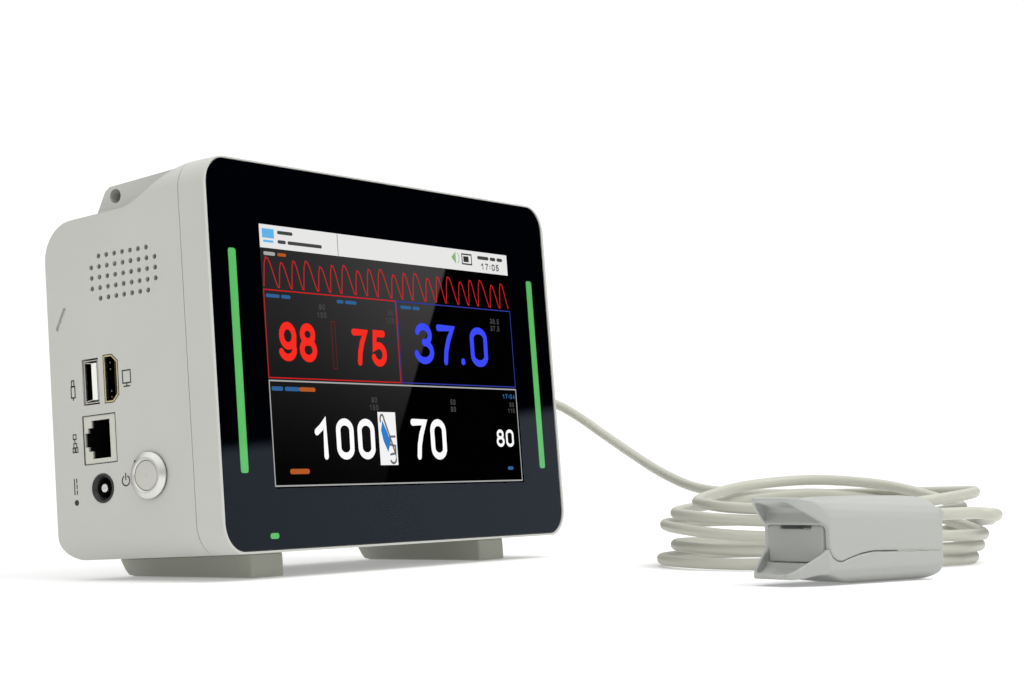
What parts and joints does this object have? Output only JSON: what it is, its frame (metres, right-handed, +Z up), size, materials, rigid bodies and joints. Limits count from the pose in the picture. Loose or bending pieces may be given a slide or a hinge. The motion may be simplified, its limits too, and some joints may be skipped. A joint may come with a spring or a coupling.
{
  "type": "patient monitor",
  "caption": "Table-top patient monitor in a backward-leaning case on two rails, with a glass front, side ports, a push button, a coiled cable and a hinged finger probe.",
  "frame": {"origin": "on the table under the middle of the whole object's footprint, taken over the case, the coiled cable and the finger probe", "axes": "+Z up; -Y is the way the screen faces; +X is the right-hand side of the case as seen from the screen side"},
  "size_m": [0.2384, 0.2658, 0.1263],
  "materials": {
    "case_plastic": "fine matt texture",
    "front_glass": "polished",
    "glass_tape": "matt",
    "lcd": "glossy",
    "sheet_steel": "zinc plated",
    "screw_steel": "zinc plated",
    "black_screw": "black oxide",
    "light_green": "diffusing",
    "circuit_board": "solder mask",
    "port_steel": "tinned",
    "port_white": "moulded",
    "port_black": "moulded",
    "contact_gold": "gold flash",
    "jack_beige": "moulded",
    "button_steel": "turned",
    "nut_brass": "nickel flash",
    "black_rubber": "matt",
    "speaker_black": "moulded",
    "speaker_paper": "pressed paper",
    "socket_blue": "moulded",
    "socket_grey": "moulded",
    "connector_metal": "turned",
    "pump_metal": "satin",
    "valve_black": "moulded",
    "air_tube": "silicone",
    "battery_wrap": "shrink wrap",
    "foot_rubber": "matt",
    "cable_jacket": "satin",
    "plug_grey": "moulded",
    "probe_shell": "satin",
    "probe_block": "satin",
    "probe_pad": "silicone",
    "spring_steel": "drawn wire",
    "emitter_red": "clear lens",
    "detector_dark": "clear lens"
  },
  "bodies": {
    "monitor": {"front_frame": "case_plastic", "rear_housing": "case_plastic", "front_glass": "front_glass", "glass_tape": "glass_tape", "lcd_panel": "lcd", "lcd_bracket": "sheet_steel", "lcd_screws": "screw_steel", "alarm_light_pipes": "light_green", "alarm_led_boards": "circuit_board", "power_led_lens": "light_green", "display_board": "circuit_board", "board_screws": "screw_steel", "main_board": "circuit_board", "hdmi_riser_board": "circuit_board", "main_board_screws": "screw_steel", "usb_shell": "port_steel", "usb_tongue": "port_white", "usb_contacts": "contact_gold", "hdmi_shell": "port_steel", "hdmi_tongue": "port_black", "net_jack": "jack_beige", "net_contacts": "contact_gold", "dc_jack": "port_black", "dc_pin": "port_steel", "button_bezel": "button_steel", "button_spring": "spring_steel", "button_seal": "black_rubber", "button_nut": "nut_brass", "button_switch": "speaker_black", "speaker_frame": "speaker_black", "speaker_cone": "speaker_paper", "spo2_socket": "socket_blue", "spo2_plug": "plug_grey", "plug_boot": "plug_grey", "temp_socket": "socket_grey", "nibp_connector": "connector_metal", "nibp_pump": "pump_metal", "nibp_valve": "valve_black", "nibp_tubes": "air_tube", "battery_pack": "battery_wrap", "battery_door": "case_plastic", "battery_door_screws": "black_screw", "case_screws": "black_screw", "left_foot": "foot_rubber", "right_foot": "foot_rubber", "foot_screws": "black_screw", "probe_cable": "cable_jacket", "probe_lower_shell": "probe_shell", "probe_lower_pad": "probe_pad", "probe_hinge_block": "probe_block", "probe_hinge_pin": "screw_steel", "probe_spring": "spring_steel", "probe_detector": "detector_dark"},
    "power_cap": {"button_cap": "button_steel"},
    "probe_upper_jaw": {"probe_upper_shell": "probe_shell", "probe_upper_pad": "probe_pad", "probe_emitter": "emitter_red", "probe_boot": "probe_shell", "probe_cable_tail": "cable_jacket"}
  },
  "joints": [
    {"name": "button_press", "type": "slide", "parent": "monitor", "child": "power_cap", "axis": [1, 0, 0], "range_m": [0, 0.0015], "stiffness_N_per_m": 1500, "deforming": ["button_spring"]},
    {"name": "probe_open", "type": "hinge", "parent": "monitor", "child": "probe_upper_jaw", "pos_m": [-0.07837, -0.10692, 0.0104], "axis": [-0.3239, -0.9461, 0], "range_deg": [0, 18], "stiffness_Nm_per_rad": 0.15, "deforming": ["probe_spring"]}
  ]
}
